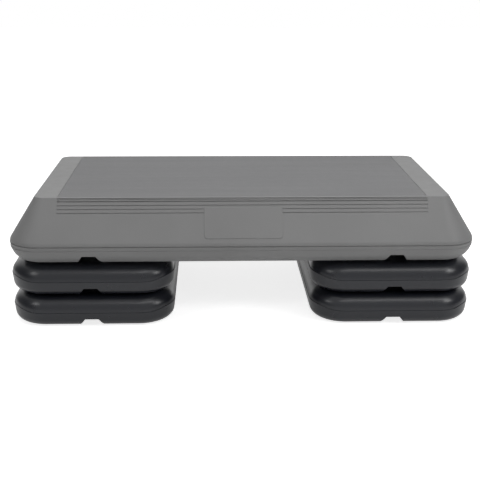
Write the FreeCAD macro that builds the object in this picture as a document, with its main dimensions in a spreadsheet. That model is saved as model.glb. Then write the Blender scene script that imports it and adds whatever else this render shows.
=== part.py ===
import FreeCAD, Part
import math
import os
import re

import Sketcher
from FreeCAD import Placement, Rotation, Vector

# An aerobic step: a blow-moulded platform with a tread mat, on two stacks of two nesting risers.
# +X runs along the platform to the right, +Y to the rear and +Z up, with the origin on the floor at the middle.

# Driving dimensions, in millimetres and degrees.
SIZES = (
    ("rim_length", 724.0, "platform length at the rim, its widest line"),
    ("rim_width", 368.3, "platform width at the rim"),
    ("rim_corner", 50.0, "corner radius of the rim in plan"),
    ("rim_step", 0.4, "upper mould half set back from the rim"),
    ("rim_height", 3.6, "upright edge of the upper mould half under the slopes"),
    ("rim_round", 11.0, "rounding where that edge turns into the slopes"),
    ("rim_land", 0.2, "least of that edge that is left under the rounding"),
    ("platform_height", 101.6, "platform from the soles of its feet to the deck"),
    ("platform_parting", 33.0, "parting line above the platform's soles"),
    ("end_run", 41.6, "deck's end from the end of the rim, seen from above"),
    ("side_run", 34.55, "deck's front or rear edge from the rim, seen from above"),
    ("deck_corner", 15.0, "corner radius of the deck in plan"),
    ("deck_bevel", 0.6, "bevel of the deck's edge"),
    ("seam_height", 1.0, "height of the channel that hides the platform's parting line"),
    ("seam_depth", 1.5, "depth of a parting channel from the widest line"),
    ("band_height", 6.0, "rim band of the lower mould half"),
    ("band_draft", 10.5, "draft of that band"),
    ("base_inset", 0.4, "drafted base set back from the rim"),
    ("base_draft", 22.0, "draft of the platform's base"),
    ("base_round", 28.0, "rounding of the base's lower edge"),
    ("end_band", 36.6, "bare band of deck at each end of the mat"),
    ("side_band", 2.4, "bare band of deck along the front and rear of the mat"),
    ("mat_corner", 5.0, "corner radius of the mat"),
    ("mat_thickness", 3.0, "thickness of the mat"),
    ("mat_gap", 0.4, "gap between the mat and the wall of its recess"),
    ("mat_sink", 0.4, "mat's surface below the deck"),
    ("mat_border", 5.0, "plain border round the mat's channels"),
    ("channel_width", 2.0, "width of a channel between the mat's ribs"),
    ("channel_depth", 1.0, "depth of a channel"),
    ("groove_width", 1.3, "width of an anti-slip groove"),
    ("groove_depth", 0.9, "depth of a groove"),
    ("groove_first", 6.5, "first groove below the deck's edge, along the slope"),
    ("groove_pitch", 6.0, "distance between grooves, and between the mat's channels"),
    ("fine_width", 1.0, "width of the two fine grooves at the deck's edge"),
    ("fine_first", 1.3, "upper fine groove below the deck's edge, along the slope"),
    ("fine_pitch", 2.1, "distance between the fine grooves"),
    ("bead_proud", 0.6, "bead between the fine grooves and the first groove, raised above the slope"),
    ("panel_length", 120.0, "plain panel in the middle of a long slope"),
    ("panel_foot", 8.9, "panel's lower edge above the rim, along the slope"),
    ("panel_corner", 5.0, "corner radius of the panel"),
    ("panel_proud", 0.7, "panel raised above the slope"),
    ("riser_length", 256.8, "riser along the platform"),
    ("riser_width", 353.0, "riser from front to rear"),
    ("riser_corner", 55.7, "corner radius of a riser in plan"),
    ("riser_overhang", 2.6, "end of a riser past the end of the platform"),
    ("riser_pitch", 50.8, "height that each riser adds"),
    ("riser_step", 0.9, "upper mould half of a riser set back from its lower half"),
    ("riser_parting", 25.0, "parting line above the riser's soles"),
    ("riser_seam", 0.3, "height of the channel that hides a riser's parting line"),
    ("riser_top_round", 25.5, "rounded shoulder of a riser"),
    ("riser_draft", 9.0, "draft of a riser's lower half"),
    ("riser_base_round", 15.0, "rounded lower edge of a riser"),
    ("land_width", 56.0, "ledge of a riser from its widest line in to its plateau"),
    ("plateau_height", 12.7, "plateau above the riser's land"),
    ("plateau_corner", 23.0, "corner radius of the plateau"),
    ("plateau_draft", 8.0, "draft of the plateau's and pocket's sides"),
    ("plateau_bevel", 3.0, "bevel of the plateau's upper edge"),
    ("nest_clearance", 1.0, "room between a plateau and the pocket over it"),
    ("notch_base", 39.0, "finger notch at the lower edge"),
    ("notch_top", 21.0, "finger notch at its top"),
    ("notch_wall", 5.0, "end of a finger notch short of the plateau below"),
    ("riser_notch", 12.3, "height of a riser's finger notch"),
    ("platform_notch", 15.2, "height of the platform's finger notch"),
    ("foot_radius", 10.0, "sole of a rubber foot"),
    ("foot_proud", 1.5, "foot below the moulding it is seated in"),
    ("foot_sunk", 2.0, "depth of a foot's seat"),
    ("foot_clearance", 0.3, "room round a foot in its seat"),
    ("foot_bevel", 0.5, "bevel of a foot's sole"),
    ("foot_end", 50.4, "middle of a foot from the end of its riser"),
)

# Grooves that run the whole length of the mat, fine and full, and grooves that stop at the panel.
GROOVES_FINE = 2
GROOVES_FULL = 2
GROOVES_SPLIT = 2

# Slack when edges are picked by their height.
LEVEL_TOLERANCE = 0.01

# Sizes that follow from the driving ones.
DECK_LENGTH = "(rim_length - 2 * end_run)"
DECK_WIDTH = "(rim_width - 2 * side_run)"
MAT_LENGTH = f"({DECK_LENGTH} - 2 * end_band)"
MAT_WIDTH = f"({DECK_WIDTH} - 2 * side_band)"
RIM_TOP = "(platform_parting + rim_height)"
SLOPE_RUN = "(side_run - rim_step)"
SLOPE_FALL = f"(platform_height - {RIM_TOP})"
SLOPE_LENGTH = f"sqrt({SLOPE_RUN} ^ 2 + {SLOPE_FALL} ^ 2)"
END_SLOPE_RUN = "(end_run - rim_step)"
END_SLOPE_LENGTH = f"sqrt({END_SLOPE_RUN} ^ 2 + {SLOPE_FALL} ^ 2)"
RIM_ROUND_LIMIT = f"((rim_height - rim_land) * {END_SLOPE_RUN} / ({END_SLOPE_LENGTH} - {SLOPE_FALL}))"
BEVEL_SHARE = f"(deck_bevel / {SLOPE_FALL})"
BEAD_TOP = f"(fine_first + {GROOVES_FINE - 1} * fine_pitch + fine_width / 2)"
BEAD_FOOT = "(groove_first - groove_width / 2)"
PANEL_TOP = f"(groove_first + {GROOVES_FULL - 0.5} * groove_pitch)"
PANEL_DROP = f"({SLOPE_LENGTH} - {PANEL_TOP} - panel_foot)"
STATION = "(rim_length / 2 + riser_overhang - riser_length / 2)"
STATIONS = (("left", f"-1 * {STATION}"), ("right", STATION))
PLATEAU_LENGTH = "(riser_length - 2 * land_width)"
PLATEAU_WIDTH = "(riser_width - 2 * land_width)"
NOTCH_END = f"({PLATEAU_WIDTH} / 2 + notch_wall)"
CHANNELS = f"(floor(({MAT_WIDTH} - 2 * mat_border) / groove_pitch) + 1)"
FOOT_X = "(riser_length / 2 - foot_end)"
FOOT_Y = "(riser_width / 2 - (land_width - nest_clearance + riser_step + riser_top_round) / 2)"

document = FreeCAD.newDocument("aerobic_step_platform")
sheet = document.addObject("Spreadsheet::Sheet", "Sizes")
for row, (name, size, meaning) in enumerate(SIZES, 1):
    sheet.set(f"A{row}", meaning)
    sheet.set(f"B{row}", str(size))
    sheet.setAlias(f"B{row}", name)
document.recompute()


def cells(formula):
    """Write a formula over size names as an expression over the sheet's cells."""
    names = {name for name, size, meaning in SIZES}
    return re.sub("[a-z_]+", lambda word: f"Sizes.{word[0]}" if word[0] in names else word[0], formula)


def number(formula):
    """Value of a formula over size names, in millimetres or degrees."""
    result = sheet.evalExpression(cells(formula))
    return float(getattr(result, "Value", result))


def bind(target, path, formula):
    """Drive one property of an object by a formula over size names."""
    target.setExpression(path, cells(formula))


def new_body(label):
    """An empty body for one sub-part, named after it."""
    body = document.addObject("PartDesign::Body", label)
    body.Label = label
    return body


def origin_part(body, role):
    """One of the origin planes or axes of a body."""
    return next(feature for feature in body.Origin.OriginFeatures if feature.Role == role)


def new_sketch(body, name, role, offset="0"):
    """A sketch on an origin plane of its own body, moved along the plane's normal."""
    sketch = body.newObject("Sketcher::SketchObject", name)
    sketch.AttachmentSupport = [(origin_part(body, role), "")]
    sketch.MapMode = "FlatFace"
    bind(sketch, "AttachmentOffset.Base.z", offset)
    return sketch


def dimension(sketch, kind, points, formula, name):
    """A named dimension of a sketch, driven by a formula."""
    index = sketch.addConstraint(Sketcher.Constraint(kind, *points, number(formula)))
    sketch.renameConstraint(index, name)
    bind(sketch, f"Constraints.{name}", formula)


def place_point(sketch, edge, end, x, y):
    """Hold the end of an edge at x and y from the sketch's origin."""
    dimension(sketch, "DistanceX", (-1, 1, edge, end), x, f"x_{edge}_{end}")
    dimension(sketch, "DistanceY", (-1, 1, edge, end), y, f"y_{edge}_{end}")


def rounded_rectangle(sketch, length, width, corner):
    """A rounded rectangle centred on the sketch's origin."""
    half_x = number(length) / 2
    half_y = number(width) / 2
    radius = number(corner)
    inner_x = half_x - radius
    inner_y = half_y - radius
    corners = ((inner_x, -inner_y), (inner_x, inner_y), (-inner_x, inner_y), (-inner_x, -inner_y))
    runs = (
        ((-inner_x, -half_y), (inner_x, -half_y)),
        ((half_x, -inner_y), (half_x, inner_y)),
        ((inner_x, half_y), (-inner_x, half_y)),
        ((-half_x, inner_y), (-half_x, -inner_y)),
    )
    quarter = math.pi / 2
    for side in range(4):
        start, end = runs[side]
        sketch.addGeometry(Part.LineSegment(Vector(*start), Vector(*end)))
        circle = Part.Circle(Vector(*corners[side]), Vector(0, 0, 1), radius)
        sketch.addGeometry(Part.ArcOfCircle(circle, (side - 1) * quarter, side * quarter))
    for edge in range(8):
        sketch.addConstraint(Sketcher.Constraint("Tangent", edge, 2, (edge + 1) % 8, 1))
    sketch.addConstraint(Sketcher.Constraint("Symmetric", 0, 1, 0, 2, -2))
    sketch.addConstraint(Sketcher.Constraint("Symmetric", 2, 1, 2, 2, -1))
    sketch.addConstraint(Sketcher.Constraint("Horizontal", 4))
    sketch.addConstraint(Sketcher.Constraint("Vertical", 6))
    for arc in (3, 5, 7):
        sketch.addConstraint(Sketcher.Constraint("Equal", 1, arc))
    dimension(sketch, "DistanceX", (6, 1, 2, 1), length, "length")
    dimension(sketch, "DistanceY", (0, 1, 4, 1), width, "width")
    dimension(sketch, "Radius", (1,), corner, "corner")
    return sketch


def polygon(sketch, points):
    """A closed outline of straight edges through points given as pairs of formulas."""
    first = sketch.GeometryCount
    count = len(points)
    places = [Vector(number(x), number(y)) for x, y in points]
    for index in range(count):
        sketch.addGeometry(Part.LineSegment(places[index], places[(index + 1) % count]))
    for index in range(count):
        following = first + (index + 1) % count
        sketch.addConstraint(Sketcher.Constraint("Coincident", first + index, 2, following, 1))
    for index, (x, y) in enumerate(points):
        place_point(sketch, first + index, 1, x, y)
    return sketch


def circle(sketch, x, y, radius):
    """A circle at a point given by formulas."""
    edge = sketch.GeometryCount
    sketch.addGeometry(Part.Circle(Vector(number(x), number(y)), Vector(0, 0, 1), number(radius)))
    place_point(sketch, edge, 3, x, y)
    dimension(sketch, "Radius", (edge,), radius, f"radius_{edge}")
    return sketch


def pad(body, name, sketch, length, down=False, taper="0"):
    """Material added over a sketch, upwards unless down, and drawn in by the taper."""
    feature = body.newObject("PartDesign::Pad", name)
    feature.Profile = sketch
    feature.Reversed = down
    bind(feature, "Length", length)
    bind(feature, "TaperAngle", f"-1 * {taper}")
    document.recompute()
    return feature


def pocket(body, name, sketch, depth, upwards=False, taper="0"):
    """Material taken away under a sketch, or over it when upwards, which has to remove something."""
    before = body.Shape.Volume
    feature = body.newObject("PartDesign::Pocket", name)
    feature.Profile = sketch
    feature.Reversed = upwards
    bind(feature, "Length", depth)
    bind(feature, "TaperAngle", f"-1 * {taper}")
    document.recompute()
    if body.Shape.Volume >= before:
        raise RuntimeError(f"{name} cuts nothing")
    return feature


def mirrored(body, name, features):
    """Repeat features of the front at the rear."""
    feature = body.newObject("PartDesign::Mirrored", name)
    feature.Originals = features
    feature.MirrorPlane = (origin_part(body, "XZ_Plane"), [""])
    body.Tip = feature
    document.recompute()
    return feature


def level_edges(body, height):
    """Names of the edges of a body that lie level at one height."""
    level = number(height)
    names = []
    for index, edge in enumerate(body.Shape.Edges, 1):
        box = edge.BoundBox
        if abs(box.ZMin - level) < LEVEL_TOLERANCE and abs(box.ZMax - level) < LEVEL_TOLERANCE:
            names.append(f"Edge{index}")
    return names


def round_level(body, name, height, radius):
    """Round every edge of a body that lies level at one height."""
    base = (body.Tip, level_edges(body, height))
    feature = body.newObject("PartDesign::Fillet", name)
    feature.Base = base
    bind(feature, "Radius", radius)
    document.recompute()
    return feature


def bevel_level(body, name, height, size):
    """Bevel every edge of a body that lies level at one height."""
    base = (body.Tip, level_edges(body, height))
    feature = body.newObject("PartDesign::Chamfer", name)
    feature.Base = base
    bind(feature, "Size", size)
    document.recompute()
    return feature


def nest_pocket(body, name, station):
    """The drafted recess in an underside that takes the plateau of the riser below."""
    sketch = new_sketch(body, f"{name}_outline", "XY_Plane", "foot_proud")
    bind(sketch, "AttachmentOffset.Base.x", station)
    rounded_rectangle(
        sketch,
        f"{PLATEAU_LENGTH} + 2 * nest_clearance",
        f"{PLATEAU_WIDTH} + 2 * nest_clearance",
        "plateau_corner + nest_clearance",
    )
    depth = "plateau_height + nest_clearance - foot_proud"
    return pocket(body, name, sketch, depth, upwards=True, taper="plateau_draft")


def finger_notches(body, stations, height):
    """Trapezoid notches in the lower edge, front and rear, where fingers part the stack."""
    sketch = new_sketch(body, "notch_outlines", "XZ_Plane", NOTCH_END)
    for station in stations:
        corners = (
            (f"{station} - notch_base / 2", "0"),
            (f"{station} + notch_base / 2", "0"),
            (f"{station} + notch_base / 2", "foot_proud"),
            (f"{station} + notch_top / 2", f"foot_proud + {height}"),
            (f"{station} - notch_top / 2", f"foot_proud + {height}"),
            (f"{station} - notch_base / 2", "foot_proud"),
        )
        polygon(sketch, corners)
    front = pocket(body, "front_notches", sketch, "rim_width / 2", upwards=True)
    return mirrored(body, "rear_notches", [front])


def foot_places(station):
    """The four feet of one station, as a name and a pair of formulas each."""
    for depth_name, depth in (("front", f"-1 * {FOOT_Y}"), ("rear", FOOT_Y)):
        for side_name, side in (("left", "-"), ("right", "+")):
            yield f"{depth_name}_{side_name}", f"{station} {side} {FOOT_X}", depth


def foot_seats(body, stations):
    """Shallow round seats that take the feet under each station."""
    sketch = new_sketch(body, "foot_seat_outlines", "XY_Plane", "foot_proud")
    for station in stations:
        for name, x, y in foot_places(station):
            circle(sketch, x, y, "foot_radius + foot_clearance")
    return pocket(body, "foot_seats", sketch, "foot_sunk", upwards=True)


def seam(body, parting, height, length, width, corner):
    """The set-back channel under a parting line, which keeps its flash out of the hand."""
    sketch = new_sketch(body, "seam_outline", "XY_Plane", parting)
    inset = "2 * seam_depth"
    rounded_rectangle(sketch, f"{length} - {inset}", f"{width} - {inset}", f"{corner} - seam_depth")
    return pad(body, "seam_channel", sketch, height, down=True)


def riser(label, station, level):
    """A nesting riser: rounded block, plateau on top, pocket, notches and foot seats below."""
    body = new_body(label)
    outline = ("riser_length", "riser_width", "riser_corner")
    upper = new_sketch(body, "upper_outline", "XY_Plane", "riser_parting")
    rounded_rectangle(
        upper,
        "riser_length - 2 * riser_step",
        "riser_width - 2 * riser_step",
        "riser_corner - riser_step",
    )
    pad(body, "upper_half", upper, "riser_pitch - riser_parting")
    round_level(body, "shoulder", "riser_pitch", "min(riser_top_round; riser_pitch - riser_parting)")
    seam(body, "riser_parting", "riser_seam", *outline)
    lower_top = "riser_parting - riser_seam"
    lower = rounded_rectangle(new_sketch(body, "lower_outline", "XY_Plane", lower_top), *outline)
    pad(body, "lower_half", lower, f"{lower_top} - foot_proud", down=True, taper="riser_draft")
    round_level(body, "lower_round", "foot_proud", f"min(riser_base_round; {lower_top} - foot_proud)")

    plateau = new_sketch(body, "plateau_outline", "XY_Plane", "riser_pitch")
    rounded_rectangle(plateau, PLATEAU_LENGTH, PLATEAU_WIDTH, "plateau_corner")
    pad(body, "plateau", plateau, "plateau_height", taper="plateau_draft")
    bevel_level(body, "plateau_edge", "riser_pitch + plateau_height", "plateau_bevel")

    nest_pocket(body, "nest_pocket", "0")
    finger_notches(body, ("0",), "riser_notch")
    foot_seats(body, ("0",))
    bind(body, "Placement.Base.x", station)
    bind(body, "Placement.Base.z", f"{level} * riser_pitch")
    return body


def slope_sketch(body, name, along, lift):
    """A sketch along the front slope, lifted off it, with its origin some way down from the deck's edge."""
    forward = f"({along} * {SLOPE_RUN} + {lift} * {SLOPE_FALL}) / {SLOPE_LENGTH}"
    downward = f"({along} * {SLOPE_FALL} - {lift} * {SLOPE_RUN}) / {SLOPE_LENGTH}"
    sketch = new_sketch(body, name, "XZ_Plane")
    sketch.AttachmentOffset = Placement(Vector(), Rotation(Vector(-1, 0, 0), 1))
    bind(sketch, "AttachmentOffset.Base.y", f"platform_height - {downward}")
    bind(sketch, "AttachmentOffset.Base.z", f"{DECK_WIDTH} / 2 + {forward}")
    bind(sketch, "AttachmentOffset.Rotation.Angle", f"atan({SLOPE_RUN} / {SLOPE_FALL})")
    return sketch


def slot(sketch, middle, width, start, end):
    """Outline of a straight groove round a line at one height of the sketch, from start to end along it."""
    low = f"{middle} - {width} / 2"
    high = f"{middle} + {width} / 2"
    polygon(sketch, ((start, low), (end, low), (end, high), (start, high)))


def platform_shell():
    """The platform: sloped top over a rimmed, drafted base with a nesting station near each end."""
    body = new_body("platform_shell")
    outline = ("rim_length", "rim_width", "rim_corner")
    upper = ("rim_length - 2 * rim_step", "rim_width - 2 * rim_step", "rim_corner - rim_step")
    rim = rounded_rectangle(new_sketch(body, "rim_outline", "XY_Plane", "platform_parting"), *upper)
    pad(body, "rim", rim, "rim_height")
    slope_foot = rounded_rectangle(new_sketch(body, "slope_foot", "XY_Plane", RIM_TOP), *upper)
    slope_head = new_sketch(body, "slope_head", "XY_Plane", "platform_height - deck_bevel")
    rounded_rectangle(
        slope_head,
        f"{DECK_LENGTH} + 2 * {END_SLOPE_RUN} * {BEVEL_SHARE}",
        f"{DECK_WIDTH} + 2 * {SLOPE_RUN} * {BEVEL_SHARE}",
        f"deck_corner + (rim_corner - rim_step - deck_corner) * {BEVEL_SHARE}",
    )
    deck = new_sketch(body, "deck_outline", "XY_Plane", "platform_height")
    rounded_rectangle(
        deck,
        f"{DECK_LENGTH} - 2 * deck_bevel",
        f"{DECK_WIDTH} - 2 * deck_bevel",
        "deck_corner - deck_bevel",
    )
    slopes = body.newObject("PartDesign::AdditiveLoft", "slopes")
    slopes.Profile = slope_foot
    slopes.Sections = [slope_head, deck]
    slopes.Ruled = True
    document.recompute()
    round_level(body, "rim_shoulder", RIM_TOP, f"min(rim_round; {RIM_ROUND_LIMIT})")

    seam(body, "platform_parting", "seam_height", *outline)
    band_top = "platform_parting - seam_height"
    band = rounded_rectangle(new_sketch(body, "band_outline", "XY_Plane", band_top), *outline)
    pad(body, "lower_band", band, "band_height", down=True, taper="band_draft")
    base_top = f"{band_top} - band_height"
    base = new_sketch(body, "base_outline", "XY_Plane", base_top)
    rounded_rectangle(
        base,
        "rim_length - 2 * base_inset",
        "rim_width - 2 * base_inset",
        "rim_corner - base_inset",
    )
    pad(body, "base", base, f"{base_top} - foot_proud", down=True, taper="base_draft")
    round_level(body, "base_edge", "foot_proud", "base_round")

    # Cutters start above the slope and what stands on it is rooted below, as deep as each is high.
    grooves = slope_sketch(body, "groove_outlines", "0", "groove_depth")
    ends = (f"-1 * {MAT_LENGTH} / 2", f"{MAT_LENGTH} / 2")
    for order in range(GROOVES_FINE):
        slot(grooves, f"-1 * fine_first - {order} * fine_pitch", "fine_width", *ends)
    for order in range(GROOVES_FULL + GROOVES_SPLIT):
        middle = f"-1 * groove_first - {order} * groove_pitch"
        if order < GROOVES_FULL:
            slot(grooves, middle, "groove_width", *ends)
        else:
            slot(grooves, middle, "groove_width", ends[0], "-1 * panel_length / 2")
            slot(grooves, middle, "groove_width", "panel_length / 2", ends[1])
    groove_cut = pocket(body, "front_grooves", grooves, "2 * groove_depth")
    bead = slope_sketch(body, "bead_outline", f"({BEAD_TOP} + {BEAD_FOOT}) / 2", "-1 * bead_proud")
    slot(bead, "0", f"({BEAD_FOOT} - {BEAD_TOP})", *ends)
    bead_pad = pad(body, "front_bead", bead, "2 * bead_proud")
    panel = slope_sketch(body, "panel_outline", f"({PANEL_TOP} + {PANEL_DROP} / 2)", "-1 * panel_proud")
    rounded_rectangle(panel, "panel_length", PANEL_DROP, "panel_corner")
    panel_pad = pad(body, "front_panel", panel, "2 * panel_proud")
    mirrored(body, "rear_grooves_bead_and_panel", [groove_cut, bead_pad, panel_pad])

    recess = new_sketch(body, "mat_recess_outline", "XY_Plane", "platform_height")
    rounded_rectangle(
        recess,
        f"{MAT_LENGTH} + 2 * mat_gap",
        f"{MAT_WIDTH} + 2 * mat_gap",
        "mat_corner + mat_gap",
    )
    pocket(body, "mat_recess", recess, "mat_thickness + mat_sink")
    for side, station in STATIONS:
        nest_pocket(body, f"{side}_nest_pocket", station)
    stations = [station for side, station in STATIONS]
    finger_notches(body, stations, "platform_notch")
    foot_seats(body, stations)
    bind(body, "Placement.Base.z", "2 * riser_pitch")
    return body


def tread_mat():
    """The non-slip mat that lies in the deck's recess, ribbed along its length."""
    body = new_body("tread_mat")
    sketch = new_sketch(body, "mat_outline", "XY_Plane")
    pad(body, "mat", rounded_rectangle(sketch, MAT_LENGTH, MAT_WIDTH, "mat_corner"), "mat_thickness")
    first = new_sketch(body, "channel_outline", "XY_Plane", "mat_thickness")
    reach = f"({MAT_LENGTH} / 2 - mat_border)"
    spread = f"(({CHANNELS} - 1) * groove_pitch)"
    slot(first, f"-1 * {spread} / 2", "channel_width", f"-1 * {reach}", reach)
    channel = pocket(body, "front_channel", first, "channel_depth")
    channels = body.newObject("PartDesign::LinearPattern", "channels")
    channels.Originals = [channel]
    channels.Direction = (origin_part(body, "Y_Axis"), [""])
    bind(channels, "Length", spread)
    bind(channels, "Occurrences", CHANNELS)
    body.Tip = channels
    document.recompute()
    bind(body, "Placement.Base.z", "2 * riser_pitch + platform_height - mat_sink - mat_thickness")
    return body


def foot(label, x, y, level):
    """A round rubber foot, seated in the moulding and bevelled at its sole."""
    body = new_body(label)
    sole = circle(new_sketch(body, "sole", "XY_Plane"), "0", "0", "foot_radius")
    pad(body, "disc", sole, "foot_proud + foot_sunk")
    bevel_level(body, "sole_edge", "0", "foot_bevel")
    bind(body, "Placement.Base.x", x)
    bind(body, "Placement.Base.y", y)
    bind(body, "Placement.Base.z", f"{level} * riser_pitch")
    return body


def check(pieces):
    """Stop if any object failed or any piece is not one sound solid."""
    for item in document.Objects:
        if "Invalid" in item.State or "Error" in item.State:
            raise RuntimeError(f"{item.Label} failed: {item.State}")
    for piece in pieces:
        shape = piece.Shape
        if shape.isNull() or not shape.isValid() or len(shape.Solids) != 1:
            raise RuntimeError(f"{piece.Label} is not one sound solid")


def main():
    """Build every piece, check it and write it to its own file."""
    pieces = [platform_shell(), tread_mat()]
    for side, station in STATIONS:
        for level, height in enumerate(("lower", "upper")):
            pieces.append(riser(f"{side}_{height}_riser", station, level))
            for name, x, y in foot_places(station):
                pieces.append(foot(f"{side}_{height}_foot_{name}", x, y, level))
        for name, x, y in foot_places(station):
            pieces.append(foot(f"platform_{side}_foot_{name}", x, y, 2))
    document.recompute()
    check(pieces)
    os.makedirs("parts", exist_ok=True)
    for piece in pieces:
        piece.Shape.exportStep(f"parts/{piece.Label}.step")


main()
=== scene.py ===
import math
from typing import NamedTuple

import bmesh
import bpy
from mathutils import Matrix, Vector


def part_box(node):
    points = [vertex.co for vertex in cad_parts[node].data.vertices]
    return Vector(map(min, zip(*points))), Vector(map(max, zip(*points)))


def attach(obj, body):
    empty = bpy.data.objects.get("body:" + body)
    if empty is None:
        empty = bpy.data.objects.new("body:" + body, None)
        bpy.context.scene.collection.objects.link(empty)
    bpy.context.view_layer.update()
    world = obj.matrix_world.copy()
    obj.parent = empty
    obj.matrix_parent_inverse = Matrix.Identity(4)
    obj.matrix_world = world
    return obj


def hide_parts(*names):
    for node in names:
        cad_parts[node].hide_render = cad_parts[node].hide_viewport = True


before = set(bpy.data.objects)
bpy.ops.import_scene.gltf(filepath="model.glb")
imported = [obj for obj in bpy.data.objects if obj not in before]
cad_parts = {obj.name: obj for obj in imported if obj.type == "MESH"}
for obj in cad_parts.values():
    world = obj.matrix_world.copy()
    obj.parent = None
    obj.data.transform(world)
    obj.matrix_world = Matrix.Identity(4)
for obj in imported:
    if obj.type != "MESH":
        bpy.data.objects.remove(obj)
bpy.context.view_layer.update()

bl_info = {
    "name": "Aerobic Step Platform",
    "version": (1, 0, 0),
    "blender": (4, 5, 0),
    "location": "3D View > Sidebar > Step",
    "description": "Dresses an aerobic step: platform, ribbed tread mat, nesting risers and rubber feet",
    "category": "Object",
}

MM = 0.001

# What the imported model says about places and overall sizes, in metres.
SHELL_LOW, SHELL_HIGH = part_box("platform_shell")
MAT_LOW, MAT_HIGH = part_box("tread_mat")
RISER_LOW, RISER_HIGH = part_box("left_lower_riser")
RISERS = sorted(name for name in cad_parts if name.endswith("_riser"))
FEET = sorted(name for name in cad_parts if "_foot_" in name)
STATIONS = sorted({round(sum(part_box(name)[end].x for end in (0, 1)) / 2, 6) for name in RISERS})

# Mesh density.
CORNER_SEGMENTS = 14
SEAT_SEGMENTS = 32
FILLET_SEGMENTS = 8
EDGE_SEGMENTS = 2
WIDE_FILLET = 2 * MM
SHARP_ANGLE = math.radians(35)

# How much of a face's normal points up where it counts as level.
LEVEL_NORMAL = 0.99

# How far a cutter reaches past the skin that it cuts.
CUT_MARGIN = 2 * MM

# Roundings and slants as shares of the height or width of what they shape.
BEAD_ROUNDING = 0.9
PANEL_ROUNDING = 0.6
RECESS_ROUNDING = 0.3
CHANNEL_SLANT = 0.2

# Where the risers' parting line starts and ends to climb, as shares of the corner's radius, and the share
# of the shoulder's rounding under the land that keeps its place.
CLIMB_SPAN = (0.3, 0.9)
CLIMB_TOP = 0.2

# What is left of the risers' parting channel along their long sides, and a distance that counts as none.
SEAM_LEFT = 0.05 * MM
SMALL = 0.01 * MM

# Distance from the middle of the floor to its edges, in metres.
FLOOR_REACH = 6.0

# Soft lights: place, width and height in metres, and power in watts.
LIGHT_AIM = (0.0, 0.0, 0.1)
LIGHTS = {
    "overhead_light": ((0.0, -0.05, 1.9), (2.0, 1.3), 21.5),
    "front_light": ((0.5, -1.5, 1.7), (1.9, 0.22), 6.0),
    "left_light": ((-1.22, -1.05, 0.98), (0.4, 0.4), 2.3),
    "right_light": ((1.11, -0.84, 0.8), (0.4, 0.4), 3.6),
}

# Strength of the world on the object, and of the studio's side and front walls where they are mirrored.
AMBIENT = 0.15
SIDE_WALLS = 0.25
FRONT_WALL = 0.75
# How far round, as the sine of the angle, the white backdrop fades into the side walls and into the
# front wall.
SIDE_EDGES = (0.55, 0.85)
FRONT_EDGES = (-0.3, 0.3)
# Strength that is added to the floor's own light where it is seen, near the object and far off, the
# distances in metres at which it starts and ends to grow, and its strength where the floor is mirrored.
FLOOR_GLOW = 0.8
FLOOR_GLOW_FAR = 1.0
FLOOR_GLOW_REACH = (0.5, 1.6)
FLOOR_GLINT = 0.37


class Look(NamedTuple):
    """How a finish varies over a piece, with each noise given as its scale and its detail."""

    cloud: tuple
    shade: tuple
    sheen: tuple
    roughness: tuple
    grain: tuple
    grain_depth: float
    grain_strength: float
    stretch: tuple = (1.0, 1.0, 1.0)


# Cloudy plastic with an uneven sheen and a fine moulded grain, glossier on the risers.
PLATFORM_LOOK = Look(
    cloud=(7.0, 3.0),
    shade=(0.93, 1.07),
    sheen=(60.0, 4.0),
    roughness=(0.5, 0.62),
    grain=(900.0, 3.0),
    grain_depth=0.1 * MM,
    grain_strength=0.35,
)
RISER_LOOK = PLATFORM_LOOK._replace(roughness=(0.26, 0.32), grain_depth=0.08 * MM)
# Matt rubber with faint lengthwise streaks and a pebbled skin.
TREAD_LOOK = Look(
    cloud=(40.0, 2.0),
    shade=(0.94, 1.06),
    sheen=(90.0, 2.0),
    roughness=(0.72, 0.86),
    grain=(1300.0, 2.0),
    grain_depth=0.12 * MM,
    grain_strength=0.5,
    stretch=(0.06, 1.0, 1.0),
)
# Black rubber, dusty in patches.
FOOT_LOOK = Look(
    cloud=(150.0, 4.0),
    shade=(0.8, 1.5),
    sheen=(300.0, 2.0),
    roughness=(0.75, 0.92),
    grain=(1600.0, 2.0),
    grain_depth=0.1 * MM,
    grain_strength=0.4,
)


def length(name, millimetres, description):
    """A length that the user can change, with its default in millimetres."""
    return bpy.props.FloatProperty(
        name=name, description=description, default=millimetres * MM, min=0.0, precision=5, unit="LENGTH"
    )


def count(name, number, description):
    """A number of like features that the user can change."""
    return bpy.props.IntProperty(name=name, description=description, default=number, min=0)


def slant(name, degrees, description):
    """An angle that the user can change."""
    return bpy.props.FloatProperty(
        name=name, description=description, default=math.radians(degrees), subtype="ANGLE"
    )


def colour(name, red, green, blue, description):
    """A linear colour that the user can change."""
    return bpy.props.FloatVectorProperty(
        name=name,
        description=description,
        default=(red, green, blue),
        size=3,
        min=0.0,
        max=1.0,
        subtype="COLOR",
    )


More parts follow.
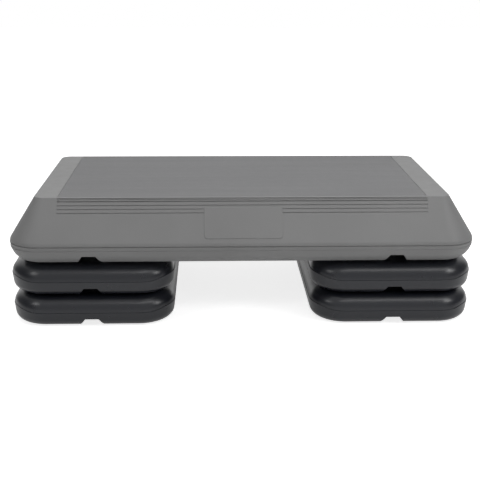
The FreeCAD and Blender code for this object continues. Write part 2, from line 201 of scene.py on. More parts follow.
class PlatformSizes(bpy.types.PropertyGroup):
    """Sizes of the moulded platform, with heights above the soles of its feet."""

    deck_height: length("Deck", 101.6, "Deck above the soles")
    foot_proud: length("Foot proud", 1.5, "Underside above the soles")
    rim_corner: length("Rim corner", 50.0, "Corner radius of the rim in plan")
    rim_step: length("Rim step", 0.4, "Upper mould half set back from the rim")
    rim_height: length("Rim edge", 3.6, "Upright edge of the upper mould half under the slopes")
    rim_round: length("Rim rounding", 11.0, "Rounding between that edge and the slopes")
    parting: length("Parting line", 33.0, "Parting line above the soles")
    end_run: length("End run", 41.6, "Deck's end from the end of the rim, seen from above")
    side_run: length("Side run", 34.55, "Deck's long edge from the rim, seen from above")
    deck_corner: length("Deck corner", 15.0, "Corner radius of the deck in plan")
    deck_round: length("Deck rounding", 1.0, "Rounding of the deck's edge")
    seam_height: length("Seam", 1.0, "Height of the channel under the parting line")
    seam_depth: length("Seam depth", 1.5, "Depth of that channel from the rim")
    band_height: length("Lower band", 6.0, "Rim band of the lower mould half")
    band_draft: slant("Band draft", 10.5, "Draft of that band")
    base_inset: length("Base inset", 0.4, "Drafted base set back from the rim")
    base_draft: slant("Base draft", 22.0, "Draft of the base's sides")
    base_round: length("Base rounding", 28.0, "Rounding of the base's lower edge")
    ledge_softness: length("Ledge softness", 0.35, "Softened upper edge of the base")
    edge_softness: length("Edge softness", 0.3, "Softened crisp edges of the moulding")
    grooves_full: count("Full grooves", 2, "Anti-slip grooves that run the whole length of the mat")
    grooves_split: count("Split grooves", 2, "Anti-slip grooves that stop at the panel")
    groove_width: length("Groove width", 1.3, "Width of an anti-slip groove")
    groove_depth: length("Groove depth", 0.9, "Depth of a groove")
    groove_first: length("First groove", 6.5, "First groove below the deck's edge, along the slope")
    groove_pitch: length("Groove pitch", 6.0, "Distance between grooves along the slope")
    grooves_fine: count("Fine grooves", 2, "Fine grooves at the deck's edge")
    fine_width: length("Fine groove width", 1.0, "Width of a fine groove")
    fine_first: length("First fine groove", 1.3, "Upper fine groove below the deck's edge, along the slope")
    fine_pitch: length("Fine groove pitch", 2.1, "Distance between the fine grooves")
    bead_proud: length("Bead proud", 0.6, "Bead over the first groove, above the slope")
    panel_length: length("Panel length", 120.0, "Plain raised panel in the middle of a long slope")
    panel_foot: length("Panel foot", 8.9, "Panel's lower edge above the rim, along the slope")
    panel_corner: length("Panel corner", 5.0, "Corner radius of the panel")
    panel_proud: length("Panel proud", 0.7, "Panel raised above the slope")
    notch_height: length("Notch height", 15.2, "Height of the platform's finger notches")


class RiserSizes(bpy.types.PropertyGroup):
    """Sizes of a nesting riser, with heights above the soles of its feet."""

    land_height: length("Land", 50.8, "Ledge that carries the piece above")
    corner: length("Corner", 55.7, "Corner radius of the riser in plan")
    step: length("Step", 0.9, "Upper mould half set back from the lower half")
    shoulder: length("Shoulder", 25.5, "Rounding of the upper edge")
    draft: slant("Draft", 9.0, "Draft of the lower half")
    base_round: length("Base rounding", 15.0, "Rounding of the lower edge")
    parting: length("Parting line", 25.0, "Parting line above the soles")
    seam_height: length("Seam", 0.3, "Height of the channel under the parting line")
    seam_depth: length("Seam depth", 1.5, "Depth of that channel from the widest line, round the corners")
    lip_softness: length("Lip softness", 0.5, "Softened upper edge of the lower half")
    climb: length("Climb", 5.0, "Rise of the parting line towards the riser's ends")
    land_width: length("Land width", 56.0, "Ledge from the widest line in to the plateau")
    plateau_corner: length("Plateau corner", 23.0, "Corner radius of the plateau")
    plateau_draft: slant("Plateau draft", 8.0, "Draft of the plateau's and pocket's sides")
    plateau_edge: length("Plateau edge", 3.0, "Rounding of the plateau's upper edge")
    nest_clearance: length("Nest clearance", 1.0, "Room between a plateau and the pocket over it")
    edge_softness: length("Edge softness", 0.3, "Softened crisp edges of the moulding")
    seat_clearance: length("Seat clearance", 0.3, "Room round a rubber foot in its seat")
    notch_base: length("Notch base", 39.0, "Finger notch at the lower edge")
    notch_top: length("Notch top", 21.0, "Finger notch at its top")
    notch_height: length("Notch height", 12.3, "Height of a riser's finger notch")
    notch_wall: length("Notch wall", 5.0, "End of a finger notch short of the plateau below")


class TreadSizes(bpy.types.PropertyGroup):
    """Sizes of the ribbed tread mat."""

    corner: length("Corner", 5.0, "Corner radius of the mat in plan")
    gap: length("Gap", 0.2, "Gap between the mat and the wall of its recess")
    edge: length("Edge", 0.2, "Rounding of the mat's upper edge")
    border: length("Border", 5.0, "Plain border along the front and rear of the ribs")
    end_border: length("End border", 1.0, "Plain border at the ends of the ribs")
    rib_pitch: length("Rib pitch", 6.0, "Distance between the channels that part the ribs")
    channel_width: length("Channel width", 2.0, "Width of a channel")
    channel_depth: length("Channel depth", 1.0, "Depth of a channel")


class Finishes(bpy.types.PropertyGroup):
    """Colours of the finishes, linear."""

    platform: colour("Platform", 0.215, 0.215, 0.215, "Mid grey moulded plastic")
    tread: colour("Tread", 0.228, 0.228, 0.232, "Grey tread mat")
    riser: colour("Riser", 0.0098, 0.011, 0.0158, "Charcoal moulded plastic")
    foot: colour("Foot", 0.012, 0.012, 0.0125, "Black rubber")
    floor: colour("Floor", 0.86, 0.86, 0.86, "Pale studio floor")


class StageSettings(bpy.types.PropertyGroup):
    """Camera of the photograph."""

    eye: bpy.props.FloatVectorProperty(
        name="Eye", description="Camera's place", default=(-0.0498, -1.4804, 0.5536), size=3, unit="LENGTH"
    )
    turn: slant("Turn", 1.937, "Camera turned to the right")
    tilt: slant("Tilt", 17.475, "Camera tilted down")
    roll: slant("Roll", 0.258, "Camera rolled about its view")
    lens: bpy.props.FloatProperty(
        name="Lens", description="Focal length in millimetres", default=67.39, min=1.0
    )


# Mesh tools.


def rounded(bm, geom, offset, segments, affect="EDGES"):
    """Round some edges, or the corners of a flat face."""
    bmesh.ops.bevel(
        bm,
        geom=geom,
        offset=offset,
        offset_type="OFFSET",
        segments=segments,
        profile=0.5,
        affect=affect,
        material=-1,
    )


def ring(bm, ring_length, ring_width, corner):
    """Edges of a level rounded rectangle round the Z axis."""
    known = set(bm.faces)
    corners = bmesh.ops.create_grid(bm, x_segments=1, y_segments=1, size=0.5)["verts"]
    bmesh.ops.scale(bm, vec=(ring_length, ring_width, 1.0), verts=corners)
    rounded(bm, corners, corner, CORNER_SEGMENTS, affect="VERTICES")
    face = next(face for face in bm.faces if face not in known)
    edges = list(face.edges)
    bmesh.ops.delete(bm, geom=[face], context="FACES_ONLY")
    return edges


def move_up(bm, edges, height):
    """Move a ring along Z."""
    corners = list({corner for edge in edges for corner in edge.verts})
    bmesh.ops.translate(bm, vec=(0.0, 0.0, height), verts=corners)


def loft(bm, rings):
    """Skin over rings, each an outline with its height and an edge rounding, closed at both ends."""
    # The rings are bridged a metre apart and then set at their heights, so that level ones aren't crossed.
    loops = []
    for order, (outline, _) in enumerate(rings):
        loops.append(ring(bm, *outline[:3]))
        move_up(bm, loops[-1], order)
    for lower, upper in zip(loops, loops[1:]):
        bmesh.ops.bridge_loops(bm, edges=lower + upper)
    for order, (outline, _) in enumerate(rings):
        move_up(bm, loops[order], outline[3] - order)
    for end in (loops[0], loops[-1]):
        bmesh.ops.edgeloop_fill(bm, edges=end)
    for edges, (_, rounding) in zip(loops, rings):
        if rounding:
            rounded(bm, edges, rounding, FILLET_SEGMENTS if rounding > WIDE_FILLET else EDGE_SEGMENTS)
    bmesh.ops.recalc_face_normals(bm, faces=bm.faces)


def block(bm, size, matrix):
    """A box of a given size, placed by a matrix."""
    made = bmesh.ops.create_cube(bm, size=1.0)["verts"]
    bmesh.ops.scale(bm, vec=size, verts=made)
    bmesh.ops.transform(bm, matrix=matrix, verts=made)
    return made


def new_object(name, bm):
    """An object of the scene with the mesh of a bmesh, which is freed."""
    mesh = bpy.data.meshes.new(name)
    bm.to_mesh(mesh)
    bm.free()
    made = bpy.data.objects.new(name, mesh)
    bpy.context.scene.collection.objects.link(made)
    return made


def combine(piece, tool_mesh, operation):
    """Cut a tool out of a piece, or join it on, for good."""
    tool = new_object(piece.name + "_tool", tool_mesh)
    modifier = piece.modifiers.new("combine", "BOOLEAN")
    modifier.operation = operation
    modifier.solver = "EXACT"
    modifier.object = tool
    graph = bpy.context.evaluated_depsgraph_get()
    result = bpy.data.meshes.new_from_object(piece.evaluated_get(graph))
    if not result.polygons:
        raise RuntimeError(f"{piece.name} lost its faces")
    former = piece.data
    piece.modifiers.clear()
    piece.data = result
    result.name = piece.name
    bpy.data.meshes.remove(former)
    spent = tool.data
    bpy.data.objects.remove(tool)
    bpy.data.meshes.remove(spent)


def finish_piece(piece, material, body, slot, *nodes):
    """Shade a piece, give it its finish and tie it to the body that it rides on."""
    piece.data.materials.clear()
    piece.data.materials.append(material)
    piece.data.shade_smooth()
    piece.data.set_sharp_from_angle(angle=SHARP_ANGLE)
    weighted = piece.modifiers.new("flat faces", "WEIGHTED_NORMAL")
    weighted.keep_sharp = True
    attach(piece, body)
    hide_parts(*nodes)


# Finishes.


def add_node(tree, kind, **values):
    """A shader node with some of its properties or input values set."""
    node = tree.nodes.new(kind)
    for name, value in values.items():
        if hasattr(node, name):
            setattr(node, name, value)
        else:
            node.inputs[name.replace("_", " ").title()].default_value = value
    return node


def noise(tree, place, scale, detail, stretch=(1.0, 1.0, 1.0)):
    """Noise over the object's own coordinates, drawn out along an axis by a small stretch there."""
    mapping = add_node(tree, "ShaderNodeMapping", scale=stretch)
    tree.links.new(place, mapping.inputs["Vector"])
    texture = add_node(tree, "ShaderNodeTexNoise", scale=scale, detail=detail)
    tree.links.new(mapping.outputs["Vector"], texture.inputs["Vector"])
    return texture.outputs["Fac"]


def ranged(tree, value, source, target):
    """A value moved from one range to another, smoothly, and held at its ends."""
    spread = add_node(tree, "ShaderNodeMapRange", interpolation_type="SMOOTHSTEP")
    spread.inputs["From Min"].default_value = source[0]
    spread.inputs["From Max"].default_value = source[1]
    spread.inputs["To Min"].default_value = target[0]
    spread.inputs["To Max"].default_value = target[1]
    tree.links.new(value, spread.inputs["Value"])
    return spread.outputs["Result"]


def between(tree, value, span):
    """A value from nought to one, spread over a range."""
    return ranged(tree, value, (0.0, 1.0), span)


def new_finish(name, base, look):
    """A material over the object's own coordinates: shaded colour, uneven sheen and a relief."""
    material = bpy.data.materials.new(name)
    material.use_nodes = True
    tree = material.node_tree
    shader = tree.nodes["Principled BSDF"]
    place = add_node(tree, "ShaderNodeTexCoord").outputs["Object"]
    shaded = add_node(tree, "ShaderNodeVectorMath", operation="SCALE")
    shaded.inputs[0].default_value = base
    cloud = noise(tree, place, *look.cloud, stretch=look.stretch)
    tree.links.new(between(tree, cloud, look.shade), shaded.inputs["Scale"])
    tree.links.new(shaded.outputs["Vector"], shader.inputs["Base Color"])
    sheen = noise(tree, place, *look.sheen)
    tree.links.new(between(tree, sheen, look.roughness), shader.inputs["Roughness"])
    relief = add_node(tree, "ShaderNodeBump", strength=look.grain_strength, distance=look.grain_depth)
    tree.links.new(noise(tree, place, *look.grain), relief.inputs["Height"])
    tree.links.new(relief.outputs["Normal"], shader.inputs["Normal"])
    return material


# Pieces.


def rounding_offset(radius, turn):
    """Distance from a crisp edge at which its rounding starts, for faces that turn by an angle."""
    return radius * math.tan(turn / 2)


def nest_rings(riser, underside, reach):
    """Rings of the drafted pocket over a plateau, from its ceiling down to some reach below its mouth."""
    plateau_length = RISER_HIGH.x - RISER_LOW.x - 2 * riser.land_width
    plateau_width = RISER_HIGH.y - RISER_LOW.y - 2 * riser.land_width
    plateau_height = RISER_HIGH.z - riser.land_height
    clearance = riser.nest_clearance
    depth = plateau_height + clearance - RISER_LOW.z
    rings = []
    for height in (depth, -reach):
        grown = clearance - height * math.tan(riser.plateau_draft)
        outline = (plateau_length + 2 * grown, plateau_width + 2 * grown, riser.plateau_corner + grown)
        rings.append(((*outline, underside + height), 0.0))
    return rings


def notch_tool(riser, stations, underside, height):
    """Trapezoid bars that cut the finger notches in the lower edge, front and rear, at each station."""
    bm = bmesh.new()
    start = (RISER_HIGH.y - RISER_LOW.y) / 2 - riser.land_width + riser.notch_wall
    reach = SHELL_HIGH.y - SHELL_LOW.y
    tall = height + CUT_MARGIN
    flare = 1 + (riser.notch_base / riser.notch_top - 1) * tall / height
    for station in stations:
        for side in (-1, 1):
            middle = Vector((station, side * (start + reach / 2), underside + (height - CUT_MARGIN) / 2))
            bar = block(bm, (riser.notch_top, reach, tall), Matrix.Translation(middle))
            low = [corner for corner in bar if corner.co.z < middle.z]
            bmesh.ops.scale(bm, vec=(flare, 1.0, 1.0), space=Matrix.Translation(-middle), verts=low)
    return bm


def seat_tool(prefix, clearance):
    """Discs that cut the round seats of the feet whose names start alike."""
    bm = bmesh.new()
    for name in FEET:
        if name.startswith(prefix):
            low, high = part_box(name)
            radius = (high.x - low.x) / 2 + clearance
            middle = (Vector(low) + Vector(high)) / 2
            bmesh.ops.create_cone(
                bm,
                cap_ends=True,
                segments=SEAT_SEGMENTS,
                radius1=radius,
                radius2=radius,
                depth=high.z - low.z,
                matrix=Matrix.Translation(middle),
            )
    return bm


def inset(outline, distance):
    """An outline drawn in all round."""
    return (outline[0] - 2 * distance, outline[1] - 2 * distance, outline[2] - distance)


def corner_share(outline, x):
    """How far round a riser's corner a place lies: nought along the long sides and one at the ends."""
    start, end = (outline[0] / 2 - outline[2] * (1 - span) for span in CLIMB_SPAN)
    share = min(max((abs(x) - start) / (end - start), 0.0), 1.0)
    return share * share * (3 - 2 * share)


def fade_seam(bm, outline, sizes):
    """Let the channel under the parting line run out along the long sides of a riser."""
    seam_low = sizes.parting - sizes.seam_height
    shallow = sizes.step + SEAM_LEFT
    for corner in bm.verts:
        if not seam_low - SMALL < corner.co.z < sizes.parting + SMALL:
            continue
        inner = [max(abs(corner.co[axis]) - outline[axis] / 2 + outline[2], 0.0) for axis in (0, 1)]
        depth = outline[2] - math.hypot(*inner)
        if depth > shallow:
            out = Vector((math.copysign(inner[0], corner.co.x), math.copysign(inner[1], corner.co.y), 0.0))
            kept = shallow + (sizes.seam_depth - shallow) * corner_share(outline, corner.co.x)
            corner.co += out.normalized() * (depth - kept)


def climb_parting(bm, outline, sizes):
    """Let the parting line climb round the corners of a riser, most at its ends."""
    low = RISER_LOW.z + rounding_offset(sizes.base_round, math.pi / 2 - sizes.draft)
    high = sizes.land_height - CLIMB_TOP * sizes.shoulder
    for corner in bm.verts:
        below = (corner.co.z - low) / (sizes.parting - low)
        above = (high - corner.co.z) / (high - sizes.parting)
        near = min(max(min(below, above), 0.0), 1.0)
        corner.co.z += sizes.climb * near * corner_share(outline, corner.co.x)


def build_riser(node, sizes, material):
    """One riser in place of its solid: rounded block, parting seam, plateau, pocket, notches and seats."""
    low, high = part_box(node)
    sole = low.z - RISER_LOW.z
    outline = (high.x - low.x, high.y - low.y, sizes.corner)
    plateau = (*(span - 2 * sizes.land_width for span in outline[:2]), sizes.plateau_corner)
    plateau_top = inset(plateau, (RISER_HIGH.z - sizes.land_height) * math.tan(sizes.plateau_draft))
    upper = inset(outline, sizes.step)
    seam = inset(outline, sizes.seam_depth)
    seam_low = sizes.parting - sizes.seam_height
    base = inset(outline, (seam_low - RISER_LOW.z) * math.tan(sizes.draft))
    soft = sizes.edge_softness
    ceiling, mouth = nest_rings(sizes, RISER_LOW.z, 0.0)
    rings = [
        ceiling,
        (mouth[0], soft),
        ((*base, RISER_LOW.z), rounding_offset(sizes.base_round, math.pi / 2 - sizes.draft)),
        ((*outline, seam_low), sizes.lip_softness),
        ((*seam, seam_low), 0.0),
        ((*seam, sizes.parting), 0.0),
        ((*upper, sizes.parting), 0.0),
        ((*upper, sizes.land_height), sizes.shoulder),
        ((*plateau, sizes.land_height), soft),
        ((*plateau_top, RISER_HIGH.z), sizes.plateau_edge),
    ]
    bm = bmesh.new()
    loft(bm, rings)
    fade_seam(bm, outline, sizes)
    climb_parting(bm, outline, sizes)
    piece = new_object(node + "_block", bm)
    combine(piece, notch_tool(sizes, (0.0,), RISER_LOW.z, sizes.notch_height), "DIFFERENCE")
    piece.data.transform(Matrix.Translation(((low.x + high.x) / 2, (low.y + high.y) / 2, sole)))
    combine(piece, seat_tool(node.removesuffix("riser"), sizes.seat_clearance), "DIFFERENCE")
    finish_piece(piece, material, node, "riser_plastic", node)


def slope_fall(platform):
    """Height of a slope, from the edge of the upper mould half up to the deck."""
    return platform.deck_height - platform.parting - platform.rim_height


def slope_run(platform):
    """Run of a long slope, seen from above."""
    return platform.side_run - platform.rim_step


def slope_matrix(platform, front, along):
    """Place on a long slope, some way down from the deck: local X along it, Y up it and Z out of it."""
    lean = math.atan2(slope_fall(platform), slope_run(platform))
    half_deck = (SHELL_HIGH.y - SHELL_LOW.y) / 2 - platform.side_run
    edge = Vector((0.0, -half_deck, SHELL_HIGH.z))
    down = Vector((0.0, -math.cos(lean), -math.sin(lean)))
    place = Matrix.Translation(edge + down * along) @ Matrix.Rotation(lean, 4, "X")
    return place if front else Matrix.Rotation(math.pi, 4, "Z") @ place


def groove_tool(platform):
    """Bars that cut the grooves of both long slopes: fine, full and stopped at the panel."""
    bm = bmesh.new()
    end = (MAT_HIGH.x - MAT_LOW.x) / 2
    gap = platform.panel_length / 2
    whole = ((-end, end),)
    lines = []
    for order in range(platform.grooves_fine):
        lines.append((platform.fine_first + order * platform.fine_pitch, platform.fine_width, whole))
    for order in range(platform.grooves_full + platform.grooves_split):
        spans = whole if order < platform.grooves_full else ((-end, -gap), (gap, end))
        lines.append((platform.groove_first + order * platform.groove_pitch, platform.groove_width, spans))
    depth = platform.groove_depth + CUT_MARGIN
    middle = (CUT_MARGIN - platform.groove_depth) / 2
    for front in (True, False):
        for along, width, spans in lines:
            slope = slope_matrix(platform, front, along)
            for low, high in spans:
                place = slope @ Matrix.Translation(((low + high) / 2, 0.0, middle))
                block(bm, (high - low, width, depth), place)
    return bm


def bead_tool(platform):
    """Rounded beads between the fine grooves and the first groove of both long slopes."""
    bm = bmesh.new()
    top = platform.fine_first + (platform.grooves_fine - 1) * platform.fine_pitch + platform.fine_width / 2
    foot = platform.groove_first - platform.groove_width / 2
    size = (MAT_HIGH.x - MAT_LOW.x, foot - top, platform.bead_proud + CUT_MARGIN)
    lift = Matrix.Translation((0.0, 0.0, (platform.bead_proud - CUT_MARGIN) / 2))
    for front in (True, False):
        place = slope_matrix(platform, front, (top + foot) / 2) @ lift
        bar = block(bm, size, place)
        outer = sorted(bar, key=lambda corner: (place.inverted() @ corner.co).z)[4:]
        edges = [edge for edge in bm.edges if edge.verts[0] in outer and edge.verts[1] in outer]
        rounded(bm, edges, BEAD_ROUNDING * platform.bead_proud, EDGE_SEGMENTS)
    return bm


def add_loft(bm, rings, matrix):
    """Add a skin over rings to a mesh, placed by a matrix."""
    skin = bmesh.new()
    loft(skin, rings)
    bmesh.ops.transform(skin, matrix=matrix, verts=skin.verts)
    spare = bpy.data.meshes.new("skin")
    skin.to_mesh(spare)
    skin.free()
    bm.from_mesh(spare)
    bpy.data.meshes.remove(spare)


def panel_tool(platform):
    """Plain raised panels, rounded at the corners, for the middle of both long slopes."""
    bm = bmesh.new()
    top = platform.groove_first + (platform.grooves_full - 0.5) * platform.groove_pitch
    drop = math.hypot(slope_fall(platform), slope_run(platform)) - platform.panel_foot - top
    outline = (platform.panel_length, drop, platform.panel_corner)
    proud = platform.panel_proud
    rings = [((*outline, -CUT_MARGIN), 0.0), ((*outline, proud), PANEL_ROUNDING * proud)]
    for front in (True, False):
        add_loft(bm, rings, slope_matrix(platform, front, top + drop / 2))
    return bm


def pocket_tool(riser, underside):
    """Drafted blocks that cut the nesting pocket of each station."""
    bm = bmesh.new()
    for station in STATIONS:
        add_loft(bm, nest_rings(riser, underside, CUT_MARGIN), Matrix.Translation((station, 0.0, 0.0)))
    return bm


class STEP_PLATFORM_OT_shell(bpy.types.Operator):
    """Build the moulded platform with its slopes, rim, grooves, panels, pockets, notches and seats"""

    bl_idname = "step_platform.shell"
    bl_label = "Platform Shell"

    def execute(self, context):
        sizes = context.scene.step_platform
        riser = context.scene.step_riser
        tread = context.scene.step_tread
        level = SHELL_HIGH.z - sizes.deck_height
        outline = (SHELL_HIGH.x - SHELL_LOW.x, SHELL_HIGH.y - SHELL_LOW.y, sizes.rim_corner)
        rim_top = sizes.parting + sizes.rim_height
        seam_low = sizes.parting - sizes.seam_height
        base_top = seam_low - sizes.band_height
        base_inset = sizes.base_inset + (base_top - sizes.foot_proud) * math.tan(sizes.base_draft)
        base_round = rounding_offset(sizes.base_round, math.pi / 2 - sizes.base_draft)
        lean = math.atan2(slope_fall(sizes), slope_run(sizes))
        soft = sizes.edge_softness

        def rim(distance, height, rounding):
            """A ring some way in from the rim, with its height above the soles."""
            return (*inset(outline, distance), level + height), rounding

        deck = (outline[0] - 2 * sizes.end_run, outline[1] - 2 * sizes.side_run, sizes.deck_corner)
        mat = (MAT_HIGH.x - MAT_LOW.x, MAT_HIGH.y - MAT_LOW.y, tread.corner)
        recess = inset(mat, -tread.gap)
        rings = [
            rim(base_inset, sizes.foot_proud, base_round),
            rim(sizes.base_inset, base_top, sizes.ledge_softness),
            rim(sizes.band_height * math.tan(sizes.band_draft), base_top, soft),
            rim(0.0, seam_low, soft),
            rim(sizes.seam_depth, seam_low, 0.0),
            rim(sizes.seam_depth, sizes.parting, 0.0),
            rim(sizes.rim_step, sizes.parting, soft),
            rim(sizes.rim_step, rim_top, rounding_offset(sizes.rim_round, math.pi / 2 - lean)),
            ((*deck, SHELL_HIGH.z), rounding_offset(sizes.deck_round, lean)),
            ((*recess, SHELL_HIGH.z), RECESS_ROUNDING * tread.gap),
            ((*recess, MAT_LOW.z), 0.0),
        ]
        bm = bmesh.new()
        loft(bm, rings)
        piece = new_object("platform_housing", bm)
        combine(piece, pocket_tool(riser, SHELL_LOW.z), "DIFFERENCE")
        combine(piece, notch_tool(riser, STATIONS, SHELL_LOW.z, sizes.notch_height), "DIFFERENCE")
        combine(piece, seat_tool("platform_", riser.seat_clearance), "DIFFERENCE")
        combine(piece, groove_tool(sizes), "DIFFERENCE")
        combine(piece, bead_tool(sizes), "UNION")
        combine(piece, panel_tool(sizes), "UNION")
        material = new_finish("platform_plastic", context.scene.step_finishes.platform, PLATFORM_LOOK)
        finish_piece(piece, material, "platform", "platform_plastic", "platform_shell")
        return {"FINISHED"}


class STEP_PLATFORM_OT_tread(bpy.types.Operator):
    """Build the tread mat with its lengthwise ribs"""

    bl_idname = "step_platform.tread"
    bl_label = "Tread Mat"

    def execute(self, context):
        sizes = context.scene.step_tread
        mat_length = MAT_HIGH.x - MAT_LOW.x
        mat_width = MAT_HIGH.y - MAT_LOW.y
        outline = (mat_length, mat_width, sizes.corner)
        bm = bmesh.new()
        loft(bm, [((*outline, MAT_LOW.z), 0.0), ((*outline, MAT_HIGH.z), sizes.edge)])
        channels = int((mat_width - 2 * sizes.border) / sizes.rib_pitch) + 1
        half_channel = sizes.channel_width / 2
        lines = []
        for order in range(channels):
            middle = (order - (channels - 1) / 2) * sizes.rib_pitch
            for side in (-1, 1):
                lines.append((Vector((0.0, middle + side * half_channel, 0.0)), (0, 1, 0)))
        half_run = mat_length / 2 - sizes.end_border
        lines += [(Vector((side * half_run, 0.0, 0.0)), (1, 0, 0)) for side in (-1, 1)]

        def top_faces():
            """Level faces of the mat's upper side."""
            level = [face for face in bm.faces if face.normal.z > LEVEL_NORMAL]
            return [face for face in level if face.calc_center_median().z > MAT_LOW.z]

        bm.normal_update()
        for point, normal in lines:
            faces = top_faces()
            edges = {edge for face in faces for edge in face.edges}
            corners = {corner for face in faces for corner in face.verts}
            bmesh.ops.bisect_plane(bm, geom=[*faces, *edges, *corners], plane_co=point, plane_no=normal)
            bm.normal_update()
        floor_faces = []
        for face in top_faces():
            middle = face.calc_center_median()
            order = middle.y / sizes.rib_pitch + (channels - 1) / 2
            off_line = abs(order - round(order)) * sizes.rib_pitch
            in_channel = off_line < half_channel and 0 <= round(order) < channels
            if in_channel and abs(middle.x) < half_run:
                floor_faces.append(face)
        if len(floor_faces) != channels:
            raise RuntimeError("the tread's channels were not all found")
        bmesh.ops.inset_region(
            bm,
            faces=floor_faces,
            thickness=CHANNEL_SLANT * sizes.channel_width,
            depth=-sizes.channel_depth,
            use_even_offset=True,
        )
        piece = new_object("ribbed_tread", bm)
        material = new_finish("tread_rubber", context.scene.step_finishes.tread, TREAD_LOOK)
        finish_piece(piece, material, "platform", "mat_rubber", "tread_mat")
        return {"FINISHED"}


class STEP_PLATFORM_OT_risers(bpy.types.Operator):
    """Build the four nesting risers"""

    bl_idname = "step_platform.risers"
    bl_label = "Risers"

    def execute(self, context):
        material = new_finish("riser_plastic", context.scene.step_finishes.riser, RISER_LOOK)
        for node in RISERS:
            build_riser(node, context.scene.step_riser, material)
        return {"FINISHED"}


class STEP_PLATFORM_OT_feet(bpy.types.Operator):
    """Give the rubber feet their finish"""

    bl_idname = "step_platform.feet"
    bl_label = "Rubber Feet"

    def execute(self, context):
        material = new_finish("foot_rubber", context.scene.step_finishes.foot, FOOT_LOOK)
        for node in FEET:
            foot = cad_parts[node]
            foot.data.materials.clear()
            foot.data.materials.append(material)
        return {"FINISHED"}


# Stage.


def soft_light(name, place, size, watts):
    """A rectangular soft light that faces the object."""
    lamp = bpy.data.lights.new(name, "AREA")
    lamp.shape = "RECTANGLE"
    lamp.size, lamp.size_y = size
    lamp.energy = watts
    made = bpy.data.objects.new(name, lamp)
    facing = (Vector(LIGHT_AIM) - Vector(place)).to_track_quat("-Z", "Y")
    made.matrix_world = Matrix.Translation(place) @ facing.to_matrix().to_4x4()
    bpy.context.scene.collection.objects.link(made)


def combined(tree, operation, first, second):
    """Two values joined by an operation; each is a number or a socket."""
    node = add_node(tree, "ShaderNodeMath", operation=operation)
    for socket, value in zip(node.inputs, (first, second)):
        if isinstance(value, bpy.types.NodeSocket):
            tree.links.new(value, socket)
        else:
            socket.default_value = value
    return node.outputs["Value"]


def seen_strength(tree, seen, mirrored, unseen):
    """Strength for rays from the camera or through glass, for mirrored rays and for light on its way."""
    path = add_node(tree, "ShaderNodeLightPath")
    through = combined(tree, "MAXIMUM", path.outputs["Is Camera Ray"], path.outputs["Is Transmission Ray"])
    bright = combined(tree, "MULTIPLY", through, seen)
    glossy = combined(tree, "MULTIPLY", path.outputs["Is Glossy Ray"], mirrored)
    return combined(tree, "MAXIMUM", combined(tree, "MAXIMUM", bright, glossy), unseen)


def backdrop(tree):
    """White behind, fading to the dim walls at both sides and in front."""
    direction = add_node(tree, "ShaderNodeTexCoord").outputs["Generated"]
    parts = add_node(tree, "ShaderNodeSeparateXYZ")
    tree.links.new(direction, parts.inputs["Vector"])
    sideways = combined(tree, "ABSOLUTE", parts.outputs["X"], 0.0)
    sides = ranged(tree, sideways, SIDE_EDGES, (1.0, SIDE_WALLS))
    front = ranged(tree, parts.outputs["Y"], FRONT_EDGES, (FRONT_WALL, 1.0))
    return combined(tree, "MULTIPLY", sides, front)


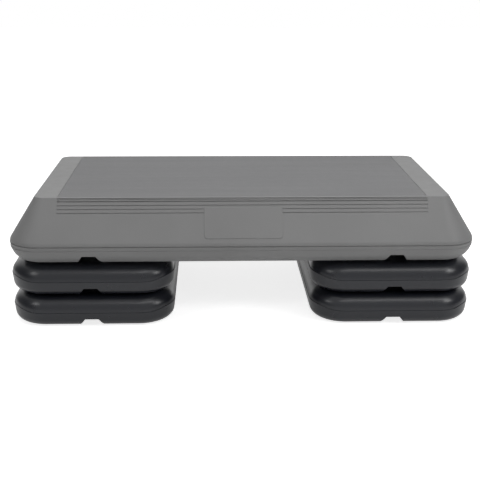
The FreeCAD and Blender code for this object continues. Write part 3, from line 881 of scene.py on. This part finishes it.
class STEP_PLATFORM_OT_stage(bpy.types.Operator):
    """Set the floor, the light and the photograph's camera"""

    bl_idname = "step_platform.stage"
    bl_label = "Stage"

    def execute(self, context):
        scene = context.scene
        for spare in [item for item in scene.objects if item.type in {"LIGHT", "CAMERA"}]:
            bpy.data.objects.remove(spare)
        self.floor(scene)
        self.light(scene)
        self.camera(scene)
        scene.view_settings.view_transform = "Standard"
        return {"FINISHED"}

    def floor(self, scene):
        """A wide pale floor that keeps the object's shadow."""
        bm = bmesh.new()
        bmesh.ops.create_grid(bm, x_segments=1, y_segments=1, size=FLOOR_REACH)
        floor = new_object("floor", bm)
        material = bpy.data.materials.new("pale_floor")
        material.use_nodes = True
        tree = material.node_tree
        tree.nodes.clear()
        matt = add_node(tree, "ShaderNodeBsdfDiffuse")
        matt.inputs["Color"].default_value = (*scene.step_finishes.floor, 1.0)
        glow = add_node(tree, "ShaderNodeEmission")
        distance = add_node(tree, "ShaderNodeVectorMath", operation="LENGTH")
        tree.links.new(add_node(tree, "ShaderNodeTexCoord").outputs["Object"], distance.inputs[0])
        seen = ranged(tree, distance.outputs["Value"], FLOOR_GLOW_REACH, (FLOOR_GLOW, FLOOR_GLOW_FAR))
        tree.links.new(seen_strength(tree, seen, FLOOR_GLINT, 0.0), glow.inputs["Strength"])
        both = add_node(tree, "ShaderNodeAddShader")
        tree.links.new(matt.outputs["BSDF"], both.inputs[0])
        tree.links.new(glow.outputs["Emission"], both.inputs[1])
        output = add_node(tree, "ShaderNodeOutputMaterial")
        tree.links.new(both.outputs["Shader"], output.inputs["Surface"])
        floor.data.materials.append(material)

    def light(self, scene):
        """A white backdrop and the soft lights."""
        world = bpy.data.worlds.new("white_backdrop")
        world.use_nodes = True
        tree = world.node_tree
        background = tree.nodes["Background"]
        background.inputs["Color"].default_value = (1.0, 1.0, 1.0, 1.0)
        strength = seen_strength(tree, 1.0, backdrop(tree), AMBIENT)
        tree.links.new(strength, background.inputs["Strength"])
        scene.world = world
        for name, (place, size, watts) in LIGHTS.items():
            soft_light(name, place, size, watts)

    def camera(self, scene):
        """The photograph's camera."""
        stage = scene.step_stage
        data = bpy.data.cameras.new("camera")
        data.lens = stage.lens
        camera = bpy.data.objects.new("camera", data)
        turned = Matrix.Rotation(-stage.turn, 4, "Z") @ Matrix.Rotation(math.pi / 2 - stage.tilt, 4, "X")
        camera.matrix_world = Matrix.Translation(stage.eye) @ turned @ Matrix.Rotation(stage.roll, 4, "Z")
        scene.collection.objects.link(camera)
        scene.camera = camera


class STEP_PLATFORM_PT_sidebar(bpy.types.Panel):
    """Sidebar panel of the step platform"""

    bl_idname = "STEP_PLATFORM_PT_sidebar"
    bl_label = "Step Platform"
    bl_space_type = "VIEW_3D"
    bl_region_type = "UI"
    bl_category = "Step"

    def draw(self, context):
        for operator in OPERATORS:
            self.layout.operator(operator.bl_idname)
        for name in GROUPS:
            group = getattr(context.scene, name)
            box = self.layout.box()
            for prop in group.bl_rna.properties:
                if not prop.is_readonly and prop.identifier != "name":
                    box.prop(group, prop.identifier)


OPERATORS = (
    STEP_PLATFORM_OT_shell,
    STEP_PLATFORM_OT_tread,
    STEP_PLATFORM_OT_risers,
    STEP_PLATFORM_OT_feet,
    STEP_PLATFORM_OT_stage,
)
GROUPS = {
    "step_platform": PlatformSizes,
    "step_riser": RiserSizes,
    "step_tread": TreadSizes,
    "step_finishes": Finishes,
    "step_stage": StageSettings,
}


def register():
    """Add the settings, operators and panel."""
    for item in (*GROUPS.values(), *OPERATORS, STEP_PLATFORM_PT_sidebar):
        bpy.utils.register_class(item)
    for name, group in GROUPS.items():
        setattr(bpy.types.Scene, name, bpy.props.PointerProperty(type=group))


def unregister():
    """Take the settings, operators and panel away again."""
    for name in GROUPS:
        delattr(bpy.types.Scene, name)
    for item in reversed((*GROUPS.values(), *OPERATORS, STEP_PLATFORM_PT_sidebar)):
        bpy.utils.unregister_class(item)


def main():
    """Build every piece."""
    register()
    bpy.ops.step_platform.shell()
    bpy.ops.step_platform.tread()
    bpy.ops.step_platform.risers()
    bpy.ops.step_platform.feet()
    bpy.ops.step_platform.stage()


if __name__ == "__main__":
    main()
